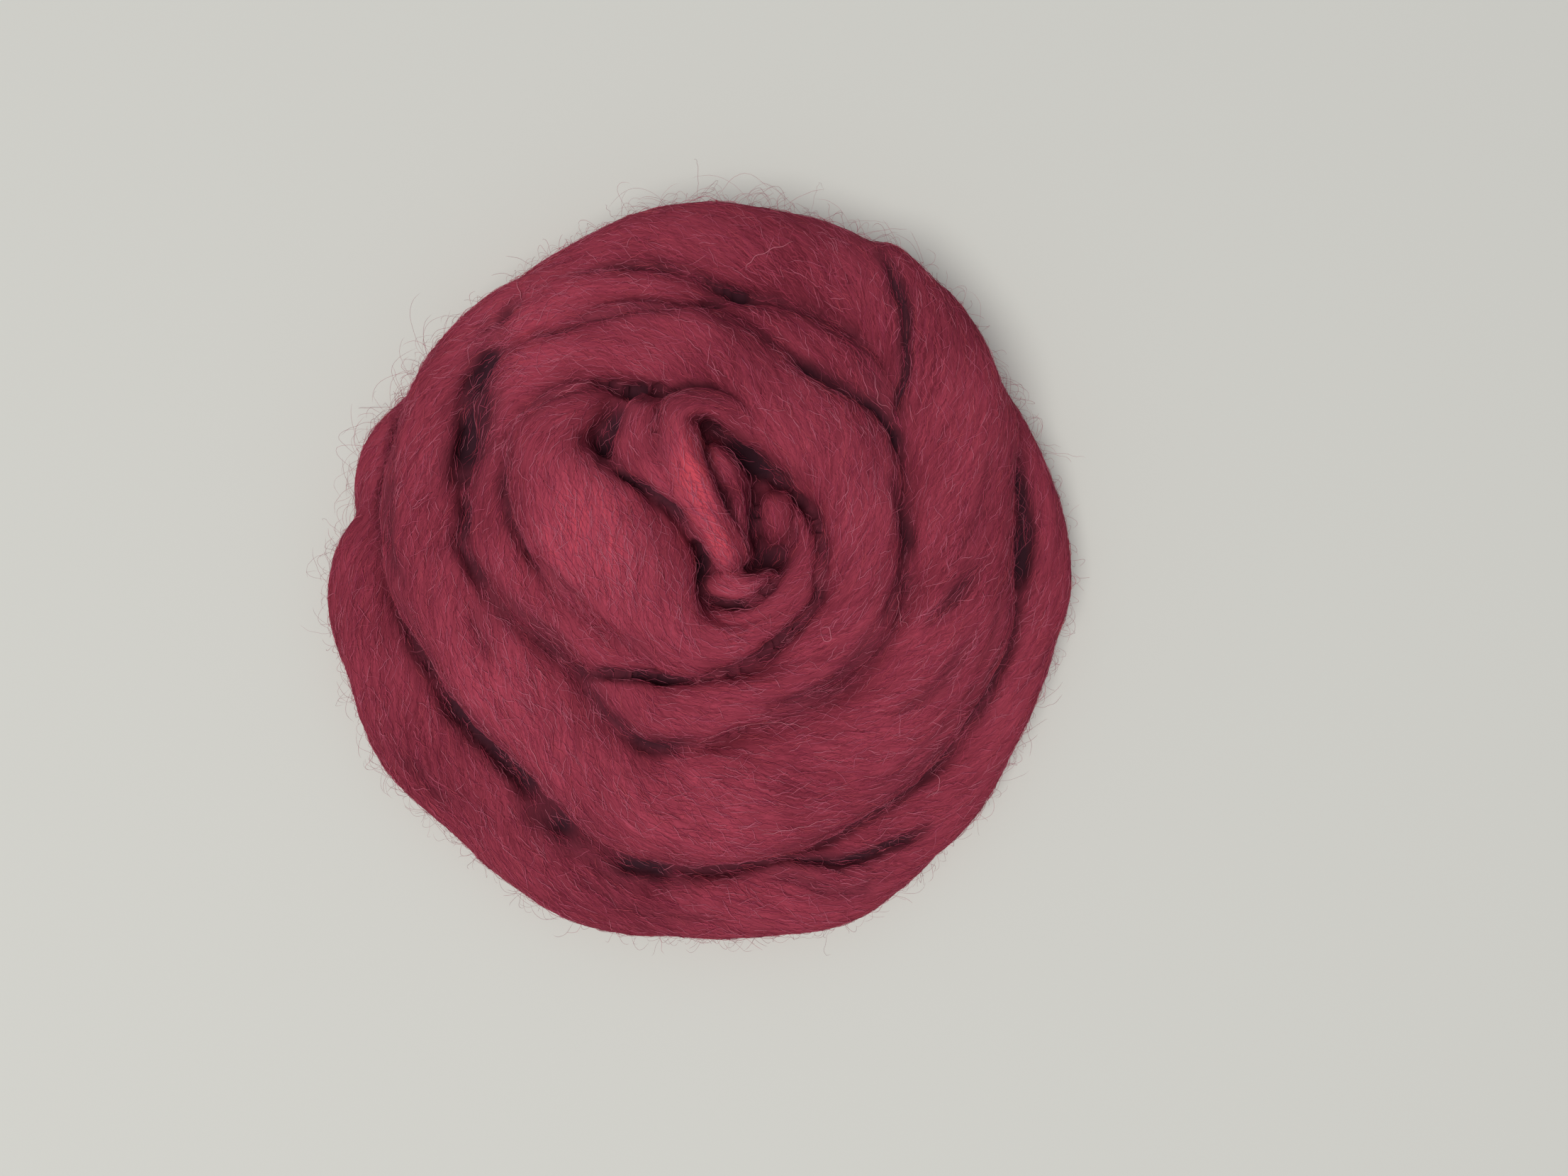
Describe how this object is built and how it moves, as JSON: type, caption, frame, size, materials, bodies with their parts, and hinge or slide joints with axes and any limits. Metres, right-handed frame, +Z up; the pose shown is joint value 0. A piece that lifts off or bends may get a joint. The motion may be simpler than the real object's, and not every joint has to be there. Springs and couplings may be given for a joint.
{
  "type": "wool roving nest",
  "caption": "A long strand of combed, dyed wool wound by hand into a loose round nest, low at the rim and heaped in folds at the middle.",
  "frame": {"origin": "middle of the nest's outline, on the table it rests on", "axes": "+Z up out of the middle of the nest, +X to the right and +Y away as the nest is seen from above with its loose outer end at the upper left"},
  "size_m": [0.2026, 0.1994, 0.0565],
  "materials": {
    "wool": "matte"
  },
  "bodies": {
    "root": {"roving": "wool"}
  },
  "joints": []
}
